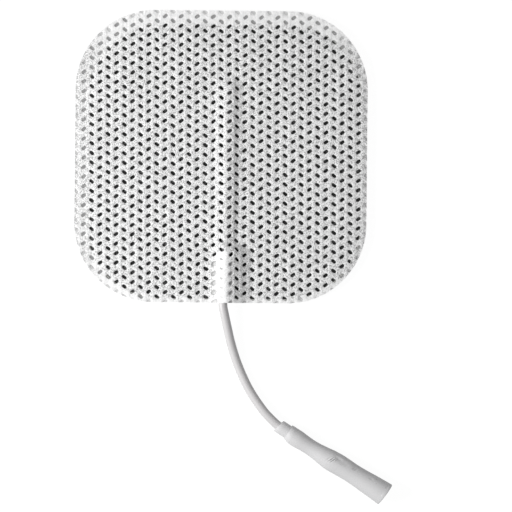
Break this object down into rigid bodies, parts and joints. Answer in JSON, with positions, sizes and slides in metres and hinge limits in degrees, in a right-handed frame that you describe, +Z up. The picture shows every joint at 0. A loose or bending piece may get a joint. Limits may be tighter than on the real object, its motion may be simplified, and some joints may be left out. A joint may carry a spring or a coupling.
{
  "type": "tens electrode pad",
  "caption": "Square self-adhesive gel electrode pad with rounded corners, perforated white cloth cover, short pigtail lead and a female pin socket.",
  "frame": {"origin": "middle of the gel face that goes on the skin", "axes": "+Z up out of the cover, -Y towards the edge that the lead leaves, +X to the side that the lead curves to"},
  "size_m": [0.0548, 0.0844, 0.0041],
  "materials": {
    "hydrogel": "clear, tacky, slightly yellow gel",
    "carbon_film": "matt black conductive film",
    "carbon_strands": "dark twisted fibre strands",
    "cover_cloth": "white perforated non-woven cloth",
    "lead_jacket": "smooth white flexible jacket",
    "collar_plastic": "satin off-white",
    "nickel_plate": "nickel plated brass",
    "sleeve_plastic": "soft satin off-white sleeve"
  },
  "bodies": {
    "root": {"gel_layer": "hydrogel", "carbon_film": "carbon_film", "lead_strands": "carbon_strands", "cover_fabric": "cover_cloth", "lead_wire": "lead_jacket", "wire_collar": "collar_plastic", "crimp_strands": "carbon_strands", "socket_contact": "nickel_plate", "socket_sleeve": "sleeve_plastic"}
  },
  "joints": []
}
